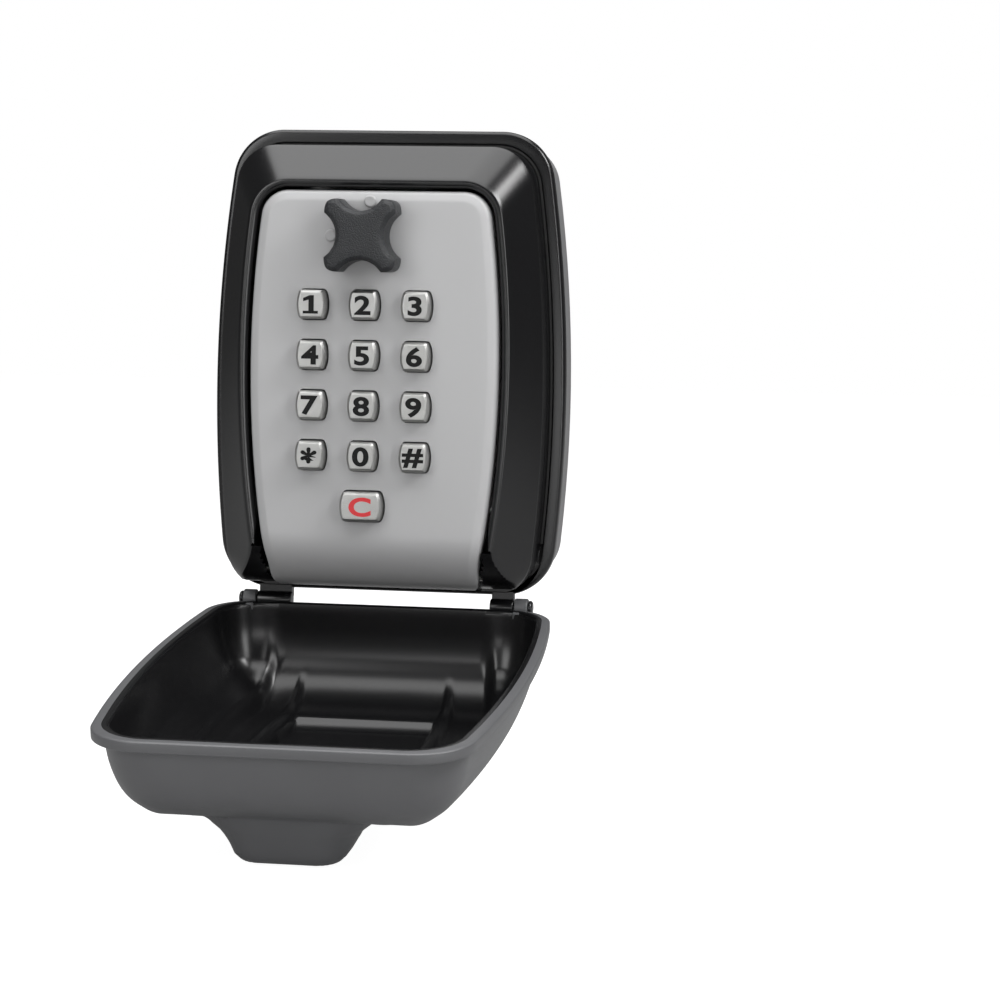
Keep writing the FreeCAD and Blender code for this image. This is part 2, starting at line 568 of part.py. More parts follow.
def spring(name, x, z):
    """The coil spring round a key's shank. Its wire has eight flats."""
    coil_radius = cell("coil_radius")
    wire_radius = cell("wire_radius")
    flats = 8
    corners = []
    for index in range(flats + 1):
        turn = 2 * math.pi * (index + 0.5) / flats
        corners.append(Vector(coil_radius + wire_radius * math.cos(turn), 0,
                              wire_radius * math.sin(turn)))
    pitch = cell("coil_pitch")
    helix = Part.makeLongHelix(pitch, pitch * cell("coil_turns"), coil_radius)
    coil = doc.addObject("Part::Feature", "spring")
    coil.Shape = Part.Wire(helix).makePipeShell([Part.makePolygon(corners)], True, True)
    coil.Placement = Placement(Vector(0, 0, 0), FACING_FRONT)
    bind(coil, Placement__Base__x=x, Placement__Base__y="-dims.coil_back", Placement__Base__z=z)
    piece("spring_" + name, coil)


rear_housing()
front_frame()
fixed_hardware()
weather_cover()
door_plate()
lock_case()
knob_and_cam()
slides()
keys()
doc.recompute()

for thing in doc.Objects:
    if "Invalid" in thing.State or "Error" in thing.State:
        raise RuntimeError(f"{thing.Name} ({thing.Label}) failed: {thing.State}")
for thing in pieces:
    shape = thing.Shape
    if shape.isNull() or not shape.isValid() or not shape.Solids:
        raise RuntimeError(f"{thing.Label} has no valid solid")

os.makedirs("parts", exist_ok=True)
for thing in pieces:
    thing.Shape.exportStep(f"parts/{thing.Label}.step")
    box = thing.Shape.BoundBox
    print(f"{thing.Label:18s} solids {len(thing.Shape.Solids)} volume {thing.Shape.Volume:9.1f} "
          f"x {box.XMin:.1f}..{box.XMax:.1f} y {box.YMin:.1f}..{box.YMax:.1f} "
          f"z {box.ZMin:.1f}..{box.ZMax:.1f}")
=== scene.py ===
"""The looks of the key lock box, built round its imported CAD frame.

Sizes are in millimetres until a mesh is made. "Ahead" is the distance in front of the
wall, so y = -ahead; the box faces -Y, with +Z up.
"""
import bpy
import bmesh
import math
import numpy as np
from mathutils import Matrix, Vector


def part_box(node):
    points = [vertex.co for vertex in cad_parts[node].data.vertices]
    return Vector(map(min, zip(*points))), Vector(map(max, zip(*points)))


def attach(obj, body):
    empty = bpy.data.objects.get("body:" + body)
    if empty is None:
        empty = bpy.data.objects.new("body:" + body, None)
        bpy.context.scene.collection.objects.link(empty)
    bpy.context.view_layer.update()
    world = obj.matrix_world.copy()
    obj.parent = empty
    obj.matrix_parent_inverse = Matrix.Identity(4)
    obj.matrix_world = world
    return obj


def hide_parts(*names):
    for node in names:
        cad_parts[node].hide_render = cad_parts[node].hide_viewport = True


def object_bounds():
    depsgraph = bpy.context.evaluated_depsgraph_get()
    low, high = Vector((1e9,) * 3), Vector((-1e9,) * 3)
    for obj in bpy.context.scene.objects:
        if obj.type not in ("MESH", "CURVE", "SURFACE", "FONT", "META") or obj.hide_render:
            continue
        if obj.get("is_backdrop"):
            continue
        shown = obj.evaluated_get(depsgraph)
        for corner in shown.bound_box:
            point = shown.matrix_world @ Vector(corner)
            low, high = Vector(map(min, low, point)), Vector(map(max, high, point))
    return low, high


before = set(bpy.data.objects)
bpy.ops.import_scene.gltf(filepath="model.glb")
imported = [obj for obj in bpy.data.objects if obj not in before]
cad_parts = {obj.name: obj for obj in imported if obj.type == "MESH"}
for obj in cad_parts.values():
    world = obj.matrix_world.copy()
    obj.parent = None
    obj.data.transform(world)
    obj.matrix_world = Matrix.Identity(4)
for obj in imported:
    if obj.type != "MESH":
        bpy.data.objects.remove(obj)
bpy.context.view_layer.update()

MM = 0.001
ACROSS = 96     # points along the top or bottom of an outline
ALONG = 124     # points along a side of an outline


def box_mm(node):
    """Lowest and highest (x, ahead, height) of a CAD node."""
    low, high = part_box(node)
    return (np.array([low.x, -high.y, low.z]) / MM, np.array([high.x, -low.y, high.z]) / MM)


# ---------------------------------------------------------------- outlines

def shape(half, top, bottom, corner, foot, bow, widest):
    """A bowed outline: half its width, its ends, its corner radii, and its sides' arcs."""
    return dict(half=half, top=top, bottom=bottom, corner=corner, foot=foot, bow=bow,
                widest=widest)


FRAME_LOW, FRAME_HIGH = box_mm("front_frame")
DOOR_LOW, DOOR_HIGH = box_mm("door_plate")

BODY = shape(FRAME_HIGH[0], FRAME_HIGH[2], -59.7, 13.6, 13.6, 399.0, -7.8)
RIM = shape(48.7, 63.2, -60.3, 14.5, 11.0, 400.0, -3.0)
WALL = shape(46.5, 61.0, -60.3, 13.6, 11.2, 398.0, -4.0)
MOUND = shape(42.6, 56.6, -59.2, 10.5, 11.5, 395.0, -7.8)
DOOR = shape(DOOR_HIGH[0], DOOR_HIGH[2], DOOR_LOW[2], 7.2, 3.0, 299.0, 0.0)
ZONE = shape(34.6, 47.0, -60.1, 9.5, 4.0, 330.0, -4.0)
BOSS = shape(13.6, 46.9, 18.2, 6.5, 6.5, 300.0, 32.5)
SKIRT = shape(22.5, 50.0, 9.0, 11.0, 11.0, 300.0, 30.0)
KEY = shape(3.8, 3.7, -3.7, 0.8, 0.8, 9.0, 0.0)
CLEAR_KEY = shape(5.5, 3.8, -3.8, 1.0, 1.0, 9.0, 0.0)


def half_path(base, grow):
    """The right half of an outline, from the top's middle to the bottom's middle.

    Also gives the two path lengths at which it passes the middles of its corners.
    """
    half, top, bottom = base["half"] + grow, base["top"] + grow, base["bottom"] - grow
    corner = max(base["corner"] + grow, 0.02)
    foot = max(base["foot"] + grow, 0.02)
    bow = base["bow"] + grow
    widest = base["widest"]
    hub = half - bow
    corner_x = hub + math.sqrt((bow - corner) ** 2 - (top - corner - widest) ** 2)
    foot_x = hub + math.sqrt((bow - foot) ** 2 - (widest - bottom - foot) ** 2)
    up = math.atan2(top - corner - widest, corner_x - hub)
    down = math.atan2(bottom + foot - widest, foot_x - hub)

    def arc(x, z, radius, start, end, steps):
        turn = np.linspace(start, end, steps)
        return np.column_stack([x + radius * np.cos(turn), z + radius * np.sin(turn)])

    steps, side_steps = 41, 121
    middle = steps // 2
    upper = arc(corner_x, top - corner, corner, math.pi / 2, up, steps)
    lower = arc(foot_x, bottom + foot, foot, down, -math.pi / 2, steps)
    side = arc(hub, widest, bow, up, down, side_steps)[1:-1]
    points = np.vstack([[[0.0, top]], upper, side, lower, [[0.0, bottom]]])
    return points, 1 + middle, 1 + steps + len(side) + middle


def outline(base, grow=0.0, across=ACROSS, along=ALONG, warp=None):
    """Points (x, z) round an outline, evenly spaced between its corners' middles.

    They start at the top left corner and go along the top, right, bottom and left.
    """
    points, first, second = half_path(base, grow)
    if warp is not None:
        points = warp(points)
    steps = np.hypot(*np.diff(points, axis=0).T)
    length = np.concatenate([[0.0], np.cumsum(steps)])

    def at(where):
        return np.column_stack([np.interp(where, length, points[:, i]) for i in (0, 1)])

    top = at(np.abs(np.linspace(-length[first], length[first], across + 1)))
    top[: across // 2, 0] *= -1
    right = at(np.linspace(length[first], length[second], along + 1))
    rest = length[-1] - length[second]
    bottom = at(length[-1] - np.abs(np.linspace(rest, -rest, across + 1)))
    bottom[across // 2 + 1:, 0] *= -1
    left = right[::-1] * [-1, 1]
    return np.vstack([top[:-1], right[:-1], bottom[:-1], left[:-1]])


def set_ahead(ring, ahead):
    """Turns (x, z) points into (x, ahead, z) ones; ahead is one number, or one for each."""
    return np.column_stack([ring[:, 0], np.broadcast_to(ahead, len(ring)), ring[:, 1]])


def inside(base, x, z):
    """How far a point lies inside an outline, negative outside."""
    hub = base["half"] - base["bow"]
    side = base["bow"] - np.hypot(np.abs(x) - hub, z - base["widest"])
    above = base["top"] - z
    below = z - base["bottom"]
    end = np.minimum(above, below)
    radius = np.where(above < below, base["corner"], base["foot"])
    in_corner = (side < radius) & (end < radius)
    rounded = radius - np.hypot(radius - side, radius - end)
    return np.where(in_corner, rounded, np.minimum(side, end))


def smooth(value):
    """Eases from 0 to 1 as value goes from 0 to 1."""
    value = np.clip(value, 0.0, 1.0)
    return value * value * (3.0 - 2.0 * value)


def blend_max(first, second, width):
    """The larger of two heights, with a fillet of about this width where they meet."""
    share = np.clip(0.5 + 0.5 * (first - second) / width, 0.0, 1.0)
    return second + (first - second) * share + width * share * (1.0 - share)


def blend_min(first, second, width):
    """The smaller of two values, with a fillet of about this width where they meet."""
    return -blend_max(-np.asarray(first), -np.asarray(second), width)


# ---------------------------------------------------------------- meshes

SAME_POINT = 1e-6     # metres within which two points are one


def mesh_piece(name, points, faces, paint, body, node=None, sharp=40.0, turn=None,
               lining=None):
    """Makes a piece from points (x, ahead, z) in millimetres and puts it on its body.

    lining is a second material and the number of the first face that has it.
    """
    mesh = bpy.data.meshes.new(name)
    located = [(x * MM, -ahead * MM, z * MM) for x, ahead, z in points]
    mesh.from_pydata(located, [], [list(face) for face in faces])
    if turn is not None:
        mesh.transform(turn)
    if lining is not None:
        index = np.zeros(len(faces), dtype=np.int32)
        index[lining[1]:] = 1
        mesh.polygons.foreach_set("material_index", index)
    made = finish_piece(name, mesh, paint, body, node, sharp)
    if lining is not None:
        mesh.materials.append(lining[0])
    return made


def finish_piece(name, mesh, paint, body, node=None, sharp=40.0):
    """Cleans and shades a mesh, and puts it on its body as a piece, in a node's place if told."""
    tidy = bmesh.new()
    tidy.from_mesh(mesh)
    bmesh.ops.remove_doubles(tidy, verts=tidy.verts, dist=SAME_POINT)
    bmesh.ops.dissolve_degenerate(tidy, dist=SAME_POINT, edges=tidy.edges)
    bmesh.ops.recalc_face_normals(tidy, faces=tidy.faces)
    tidy.to_mesh(mesh)
    tidy.free()
    mesh.materials.append(paint)
    mesh.shade_smooth()
    mesh.set_sharp_from_angle(angle=math.radians(sharp))
    made = bpy.data.objects.new(name, mesh)
    bpy.context.scene.collection.objects.link(made)
    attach(made, body)
    if node is not None:
        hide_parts(node)
    return made


def rings_to_faces(count, around, closed=False):
    """Quads between consecutive rings of points; closed joins the last to the first."""
    faces = []
    for ring in range(count if closed else count - 1):
        start = ring * around
        following = ((ring + 1) % count) * around
        for index in range(around):
            after = (index + 1) % around
            faces.append((start + index, start + after, following + after, following + index))
    return faces


def grid_from_ring(ring, across, along):
    """Inner points and faces of a grid that fills a ring laid out as outline() does.

    Faces index the ring as 0..len(ring)-1 and the new points after it.
    """
    top = ring[: across + 1]
    right = ring[across: across + along + 1]
    bottom = ring[across + along: 2 * across + along + 1][::-1]
    left = np.vstack([ring[2 * across + along:], ring[:1]])[::-1]
    u = np.linspace(0, 1, across + 1)[None, :, None]
    v = np.linspace(0, 1, along + 1)[:, None, None]
    grid = ((1 - v) * top[None] + v * bottom[None] + (1 - u) * left[:, None]
            + u * right[:, None]
            - (1 - u) * (1 - v) * top[0] - u * (1 - v) * top[-1]
            - (1 - u) * v * bottom[0] - u * v * bottom[-1])
    around = 2 * (across + along)
    index = -np.ones((along + 1, across + 1), int)
    index[0, :] = np.arange(across + 1)
    index[:, -1] = across + np.arange(along + 1)
    index[-1, ::-1] = across + along + np.arange(across + 1)
    index[::-1, 0] = (2 * across + along + np.arange(along + 1)) % around
    index[1:-1, 1:-1] = around + np.arange((across - 1) * (along - 1)).reshape(along - 1, -1)
    inner = grid[1:-1, 1:-1].reshape(-1, ring.shape[1])
    faces = []
    for row in range(along):
        for column in range(across):
            faces.append((index[row, column], index[row, column + 1],
                          index[row + 1, column + 1], index[row + 1, column]))
    return inner, faces


def rounded_profile(corners, steps=5):
    """A line through (sideways, ahead, radius) corners, with an arc of radius at each."""
    points = []
    for index, (x, y, radius) in enumerate(corners):
        here = np.array([x, y], float)
        if radius <= 0 or index in (0, len(corners) - 1):
            points.append(here)
            continue
        before = np.array(corners[index - 1][:2], float) - here
        after = np.array(corners[index + 1][:2], float) - here
        before /= np.hypot(*before)
        after /= np.hypot(*after)
        bend = math.acos(np.clip(np.dot(before, after), -1, 1))
        back = radius / math.tan(bend / 2)
        start, end = here + before * back, here + after * back
        centre = here + (before + after) / np.hypot(*(before + after)) * radius / math.sin(bend / 2)
        first = start - centre
        last = end - centre
        turn = math.atan2(first[0] * last[1] - first[1] * last[0], np.dot(first, last))
        for step in range(steps + 1):
            angle = turn * step / steps
            c, s = math.cos(angle), math.sin(angle)
            points.append(centre + [c * first[0] - s * first[1], s * first[0] + c * first[1]])
    return np.array(points)


# ---------------------------------------------------------------- materials

def material(name, colour, roughness, metallic=0.0, specular=0.5):
    """A plain material, with its node tree and its shader."""
    made = bpy.data.materials.new(name)
    made.use_nodes = True
    shader = made.node_tree.nodes["Principled BSDF"]
    shader.inputs["Base Color"].default_value = (*colour, 1)
    shader.inputs["Roughness"].default_value = roughness
    shader.inputs["Metallic"].default_value = metallic
    shader.inputs["Specular IOR Level"].default_value = specular
    return made, made.node_tree, shader


def node(tree, kind, **values):
    """A new node with these input values or settings."""
    made = tree.nodes.new(kind)
    for key, value in values.items():
        if key in made.inputs:
            made.inputs[key].default_value = value
        else:
            setattr(made, key, value)
    return made


def surface(name, colour, roughness, grain, grain_size, bump, metallic=0.0, specular=0.5,
            variation=0.12, rough_variation=0.08):
    """A moulded, painted or metal surface: grain as bump, soft variation in tone and gloss.

    grain_size is in millimetres and bump is the grain's depth in millimetres.
    """
    made, tree, shader = material(name, colour, roughness, metallic, specular)
    place = tree.nodes.new("ShaderNodeTexCoord")
    fine = node(tree, "ShaderNodeTexNoise", Scale=1.0 / (grain_size * MM), Detail=3.0)
    broad = node(tree, "ShaderNodeTexNoise", Scale=60.0, Detail=4.0)
    tree.links.new(place.outputs["Object"], fine.inputs["Vector"])
    tree.links.new(place.outputs["Object"], broad.inputs["Vector"])

    raised = node(tree, "ShaderNodeBump", Strength=grain, Distance=bump * MM)
    tree.links.new(fine.outputs["Fac"], raised.inputs["Height"])
    tree.links.new(raised.outputs["Normal"], shader.inputs["Normal"])

    tone = node(tree, "ShaderNodeMapRange")
    tone.inputs["To Min"].default_value = 1.0 - variation
    tone.inputs["To Max"].default_value = 1.0 + variation
    mixed = node(tree, "ShaderNodeMix", data_type="RGBA", blend_type="MULTIPLY")
    mixed.inputs["Factor"].default_value = 1.0
    # inputs 6 and 7 and output 2 are the colour ones
    mixed.inputs[6].default_value = (*colour, 1)
    tree.links.new(broad.outputs["Fac"], tone.inputs["Value"])
    tree.links.new(tone.outputs["Result"], mixed.inputs[7])
    tree.links.new(mixed.outputs[2], shader.inputs["Base Color"])

    gloss = node(tree, "ShaderNodeMapRange")
    gloss.inputs["To Min"].default_value = roughness - rough_variation
    gloss.inputs["To Max"].default_value = roughness + rough_variation
    tree.links.new(fine.outputs["Fac"], gloss.inputs["Value"])
    tree.links.new(gloss.outputs["Result"], shader.inputs["Roughness"])
    return made


GLOSS_BLACK = surface("gloss_black", (0.004, 0.004, 0.0045), 0.24, 0.05, 0.5, 0.004,
                      variation=0.1, rough_variation=0.02)
COVER_OUTSIDE = surface("satin_charcoal", (0.092, 0.093, 0.097), 0.40, 0.35, 0.35, 0.05)
COVER_INSIDE = surface("cover_inside_black", (0.005, 0.005, 0.0055), 0.25, 0.06, 0.6, 0.006,
                       rough_variation=0.03)
HOUSING_COAT = surface("housing_powder_coat", (0.17, 0.17, 0.173), 0.5, 0.5, 0.5, 0.06)
DOOR_PAINT = surface("door_grey_paint", (0.37, 0.37, 0.374), 0.40, 0.10, 0.4, 0.015,
                     variation=0.02)
KNOB_GRAIN = surface("knob_grained_black", (0.009, 0.010, 0.012), 0.38, 1.0, 0.34, 0.34,
                     rough_variation=0.15)
KEY_NICKEL = surface("key_satin_nickel", (0.42, 0.42, 0.41), 0.34, 1.0, 0.2, 0.07,
                     metallic=1.0, variation=0.2)
DIGIT_INK = surface("digit_ink_black", (0.004, 0.004, 0.004), 0.55, 0.2, 0.2, 0.02,
                    specular=0.2)
CLEAR_INK = surface("clear_ink_red", (0.52, 0.02, 0.026), 0.5, 0.2, 0.2, 0.02)
BLACK_PIN = surface("black_steel_pin", (0.03, 0.03, 0.032), 0.22, 0.3, 0.3, 0.02, metallic=0.6)
BRIGHT_STEEL = surface("zinc_plated_steel", (0.55, 0.55, 0.53), 0.28, 0.3, 0.2, 0.02,
                       metallic=1.0)
CAST_ZINC = surface("cast_zinc", (0.42, 0.42, 0.43), 0.42, 0.6, 0.4, 0.05, metallic=1.0)
TURNED_BRASS = surface("turned_brass", (0.62, 0.43, 0.16), 0.25, 0.3, 0.2, 0.02, metallic=1.0)
BLACK_RUBBER = surface("black_rubber", (0.012, 0.012, 0.012), 0.7, 0.6, 0.3, 0.05)


# ---------------------------------------------------------------- front frame

FLANGE_BACK, FLANGE_FRONT = FRAME_LOW[1], 28.0
GROOVE_FLOOR = 26.4
GROOVE_END, GROOVE_RUNOUT = -44.0, 8.0     # height where the groove starts to fade, and how soon
CREASE = 38.6
SLOPE_FRONT, SLOPE_WIDTH, SLOPE_STEPS = FRAME_HIGH[1], 9.0, 12
LIP_WIDTH, LIP_DROP = 2.9, 0.1
ROLL_AHEAD, ROLL_HEIGHT, FRAME_ROLL, DOOR_ROLL = 34.3, -43.0, 14.4, 15.0
DOOR_GAP = 0.8
WELL_LOW = DOOR["bottom"] - DOOR_GAP
OPENING_TOP, OPENING_MARGIN, FLOOR_MARGIN = -44.0, 0.12, 0.01
SWING_ROOM, SWING_REACH, SWING_TOP, SWING_RAMP = 30.7, 4.0, -39.0, 6.0


def roll_bottom(ahead):
    """The lowest height that the frame's rolled bottom allows at a distance ahead."""
    reach = np.clip(ahead - ROLL_AHEAD, 0.0, FRAME_ROLL)
    return ROLL_HEIGHT - np.sqrt(FRAME_ROLL ** 2 - reach ** 2)


def frame_ring(base, grow, ahead, low=-math.inf):
    """A ring of the frame: an outline that goes no lower than low."""
    ring = outline(base, grow)
    ring[:, 1] = np.maximum(ring[:, 1], low)
    return set_ahead(ring, ahead)


def widen(ring):
    """Makes room at the well's lower corners for the door to swing."""
    side = np.abs(ring[:, 0])
    more = np.maximum(SWING_ROOM - side, 0.0) * (side > SWING_ROOM - SWING_REACH)
    more *= smooth((SWING_TOP - ring[:, 2]) / SWING_RAMP)
    ring[:, 0] += np.sign(ring[:, 0]) * more
    return ring


def flange_and_groove():
    """Rings round the flange's edge and face, and down into the groove round the mound."""
    edge = [(0, FLANGE_BACK, 0), (0, FLANGE_FRONT, 1.1), (-2.4, FLANGE_FRONT, 0)]
    rings = [frame_ring(BODY, grow, ahead) for grow, ahead in rounded_profile(edge)]
    groove = [(1.2, FLANGE_FRONT, 0), (1.0, FLANGE_FRONT, 0.3), (0.8, GROOVE_FLOOR, 0.3),
              (0.1, GROOVE_FLOOR, 0.2), (0.1, 27.0, 0)]
    for grow, ahead in rounded_profile(groove):
        ring = frame_ring(MOUND, grow, ahead, WELL_LOW)
        shallow = smooth((GROOVE_END - ring[:, 2]) / GROOVE_RUNOUT)
        ring[:, 1] += (FLANGE_FRONT - ring[:, 1]) * shallow
        rings.append(ring)
    return rings


def wall_and_slope():
    """Rings up the mound's wall, over its crease and along its sloped face."""
    rings = []
    for ahead in (FLANGE_FRONT + 0.02, 31.0, 34.0, 36.5, CREASE - 0.5):
        draft = 0.1 - 0.1 * (ahead - FLANGE_FRONT) / 10
        rings.append(frame_ring(MOUND, draft, ahead, roll_bottom(ahead)))
    bend = rounded_profile([(0, CREASE - 0.5, 0), (0, CREASE, 0.4),
                            (SLOPE_WIDTH, SLOPE_FRONT, 0)], 4)[1:-1]
    stations = [(sideways / SLOPE_WIDTH, ahead) for sideways, ahead in bend]
    first, low = stations[-1]
    for step in range(1, SLOPE_STEPS + 1):
        share = step / SLOPE_STEPS
        stations.append((first + (1 - first) * share,
                         low + (SLOPE_FRONT - LIP_DROP - low) * share))
    crease = outline(MOUND)
    edge = outline(DOOR, LIP_WIDTH)
    for mix, ahead in stations:
        ring = crease * (1 - mix) + edge * mix
        ring[:, 1] = np.maximum(ring[:, 1], roll_bottom(ahead))
        rings.append(set_ahead(ring, ahead))
    return rings


def lip_and_well():
    """Rings over the rounded lip, and along the well's wall back through the flange."""
    lip = rounded_profile([(LIP_WIDTH, SLOPE_FRONT - LIP_DROP, 0),
                           (2.2, SLOPE_FRONT + 0.35, 1.2),
                           (DOOR_GAP, SLOPE_FRONT - 0.6, 1.2), (DOOR_GAP, 44.0, 0)], 5)[1:]
    stations = list(lip) + [(DOOR_GAP, ahead) for ahead in (41.0, 38.0, 34.5, 31.0, 28.05)]
    rings = [widen(frame_ring(DOOR, grow, ahead, roll_bottom(ahead)))
             for grow, ahead in stations]
    return rings + [frame_ring(DOOR, DOOR_GAP, ahead) for ahead in (FLANGE_FRONT, FLANGE_BACK)]


def front_frame():
    """The glossy raised frame: flange, groove, wall, sloped face and the door's well.

    The well is open at its rolled bottom, where the door closes it.
    """
    outer = flange_and_groove() + wall_and_slope()
    rings = outer + lip_and_well()
    around = len(rings[0])
    first_of_lip = len(outer) * around
    points = np.vstack(rings)
    well = dict(DOOR, half=DOOR["half"] + DOOR_GAP, top=DOOR["top"] + DOOR_GAP,
                bottom=WELL_LOW)
    depth = inside(well, points[:, 0], points[:, 2])
    on_floor = points[:, 2] < roll_bottom(points[:, 1]) + FLOOR_MARGIN
    faces = []
    for face in rings_to_faces(len(rings), around, closed=True):
        corners = list(face)
        in_opening = False
        if points[corners, 2].min() < OPENING_TOP:
            if min(corners) < first_of_lip:
                in_opening = depth[corners].mean() > OPENING_MARGIN
            else:
                in_opening = on_floor[corners].all()
        if not in_opening:
            faces.append(face)
    shell = mesh_piece("front_frame_shell", points, faces, GLOSS_BLACK, "housing",
                       "front_frame", sharp=50)
    keeper_low, keeper_high = box_mm("latch_keeper")
    # a pocket round the keeper, deeper below and above it for the bolt
    carve(shell, [box_solid(keeper_low - [0.6, 0.6, 3.0], keeper_high + [0.6, 0.6, 2.0])])
    shell.data.set_sharp_from_angle(angle=math.radians(50))


# ---------------------------------------------------------------- door

PAN_DEPTH, DEEPER_SIDES, PLATE_THICKNESS = 6.0, 2.5, 2.5
KEY_CLEARANCE, BUSH_HOLE_RADIUS = 0.35, 5.3
CUT_BACK, CUT_FRONT = 44.0, 52.0     # the holes' cutters reach past both faces of the plate
DOTS = {"upper": (-1.0, 42.0), "side": (-11.2, 33.2)}     # (x, z) of the marks by the knob
DOT_RADIUS, DOT_BASE, DOT_RISE = 1.55, 49.2, 0.65
DOOR_AXIS_AHEAD, DOOR_AXIS_HEIGHT = 34.5, -54.3


def to_flat(points):
    """Unrolls (x, z) points of the door, so that heights below the roll are path lengths."""
    flat = points.copy()
    below = points[:, 1] < ROLL_HEIGHT
    drop = np.clip((ROLL_HEIGHT - points[:, 1]) / DOOR_ROLL, 0.0, 1.0)
    flat[below, 1] = ROLL_HEIGHT - DOOR_ROLL * np.arcsin(drop[below])
    return flat


def door_surface(flat, sunk):
    """Points of the door sunk below its front face, from unrolled (x, height) ones."""
    turn = np.clip((ROLL_HEIGHT - flat[:, 1]) / DOOR_ROLL, 0.0, None)
    radius = DOOR_ROLL - sunk
    ahead = ROLL_AHEAD + radius * np.cos(turn)
    height = np.where(turn > 0, ROLL_HEIGHT - radius * np.sin(turn), flat[:, 1])
    return np.column_stack([flat[:, 0], ahead, height])


def plate_mesh():
    """The door's pan: a rolled plate with rounded edges and side walls behind it."""
    profile = rounded_profile([(-6.0, 0.0, 0), (-2.6, 0.0, 2.4), (-0.5, 0.75, 0.9),
                               (0.0, 2.6, 1.0), (0.0, PAN_DEPTH, 0)], 4)
    sections = list(profile) + [(-1.6, PAN_DEPTH), (-2.5, PLATE_THICKNESS)]
    flats = []
    points = []
    for number, (grow, sunk) in enumerate(sections):
        flat = outline(dict(DOOR, bottom=DOOR["bottom"] + grow), grow, warp=to_flat)
        depth = np.full(len(flat), sunk)
        if sunk == PAN_DEPTH:
            depth += DEEPER_SIDES * smooth((flat[:, 1] + 40.0) / 10.0)
        elif number < len(profile) and sunk < 2.6:
            depth *= 1 - smooth((-flat[:, 1] - 50.0) / 10.0)
        flats.append(flat)
        points.append(door_surface(flat, depth))
    around = len(flats[0])
    faces = rings_to_faces(len(sections), around)
    stacked = np.vstack(points)
    for first, flat, sunk in ((0, flats[0], 0.0),
                              ((len(sections) - 1) * around, flats[-1], PLATE_THICKNESS)):
        inner, grid = grid_from_ring(flat, ACROSS, ALONG)
        offset = len(stacked) - around
        faces += [[i + first if i < around else i + offset for i in face] for face in grid]
        stacked = np.vstack([stacked, door_surface(inner, np.full(len(inner), sunk))])
    return stacked, faces


def box_solid(low, high):
    """The points and faces of a box between two (x, ahead, z) corners."""
    points = [(x, ahead, z) for ahead in (low[1], high[1])
              for x, z in ((low[0], low[2]), (high[0], low[2]), (high[0], high[2]),
                           (low[0], high[2]))]
    faces = rings_to_faces(2, 4)
    faces += [(0, 1, 2, 3), (4, 5, 6, 7)]
    return points, faces


def upright(ring, back, front):
    """The points and faces of a solid that stands on a ring of (x, z) points."""
    points = np.vstack([set_ahead(ring, back), set_ahead(ring, front)])
    count = len(ring)
    faces = rings_to_faces(2, count)
    faces.append(list(range(count)))
    faces.append(list(range(count, 2 * count)))
    return points, faces


def circle(x, z, radius):
    """Points (x, z) round a circle."""
    turn = np.linspace(0, 2 * math.pi, 48, endpoint=False)
    return np.column_stack([x + radius * np.cos(turn), z + radius * np.sin(turn)])


def carve(target, solids):
    """Cuts solids, each (points, faces), out of a piece."""
    mesh = bpy.data.meshes.new("cutter")
    points = []
    faces = []
    for solid_points, solid_faces in solids:
        faces += [[i + len(points) for i in face] for face in solid_faces]
        points += [(x * MM, -ahead * MM, z * MM) for x, ahead, z in solid_points]
    mesh.from_pydata(points, [], faces)
    tidy = bmesh.new()
    tidy.from_mesh(mesh)
    bmesh.ops.recalc_face_normals(tidy, faces=tidy.faces)
    tidy.to_mesh(mesh)
    tidy.free()
    cutter = bpy.data.objects.new("cutter", mesh)
    bpy.context.scene.collection.objects.link(cutter)
    boolean = target.modifiers.new("cut", "BOOLEAN")
    boolean.object = cutter
    boolean.operation = "DIFFERENCE"
    boolean.solver = "EXACT"
    graph = bpy.context.evaluated_depsgraph_get()
    result = bpy.data.meshes.new_from_object(target.evaluated_get(graph))
    target.modifiers.remove(boolean)
    target.data = result
    bpy.data.objects.remove(cutter)


def key_places():
    """Name, outline and centre (x, z) of each key, from the CAD keys."""
    places = []
    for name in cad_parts:
        if name.startswith("key_") and name != "key_hook":
            low, high = box_mm(name)
            centre = ((low[0] + high[0]) / 2, (low[2] + high[2]) / 2)
            places.append((name, CLEAR_KEY if name == "key_clear" else KEY, *centre))
    return places


def door():
    """The grey door with holes for its keys and knob, its two dots and its hinge barrels."""
    points, faces = plate_mesh()
    plate = mesh_piece("door_plate_shell", points, faces, DOOR_PAINT, "door", "door_plate",
                       sharp=35)
    low, high = box_mm("spindle_bush")
    knob_x, knob_z = (low[0] + high[0]) / 2, (low[2] + high[2]) / 2
    holes = [outline(base, KEY_CLEARANCE, 16, 16) + [x, z] for _, base, x, z in key_places()]
    holes.append(circle(knob_x, knob_z, BUSH_HOLE_RADIUS))
    carve(plate, [upright(hole, CUT_BACK, CUT_FRONT) for hole in holes])
    plate.data.set_sharp_from_angle(angle=math.radians(35))
    for name, (x, z) in DOTS.items():
        dot(f"door_dot_{name}", x, z)
    for name, left, right in (("left", -26, -19), ("right", 19, 26)):
        barrel(f"door_barrel_{name}", 2.8, left, right, DOOR_AXIS_AHEAD, DOOR_AXIS_HEIGHT,
               DOOR_PAINT, "door")


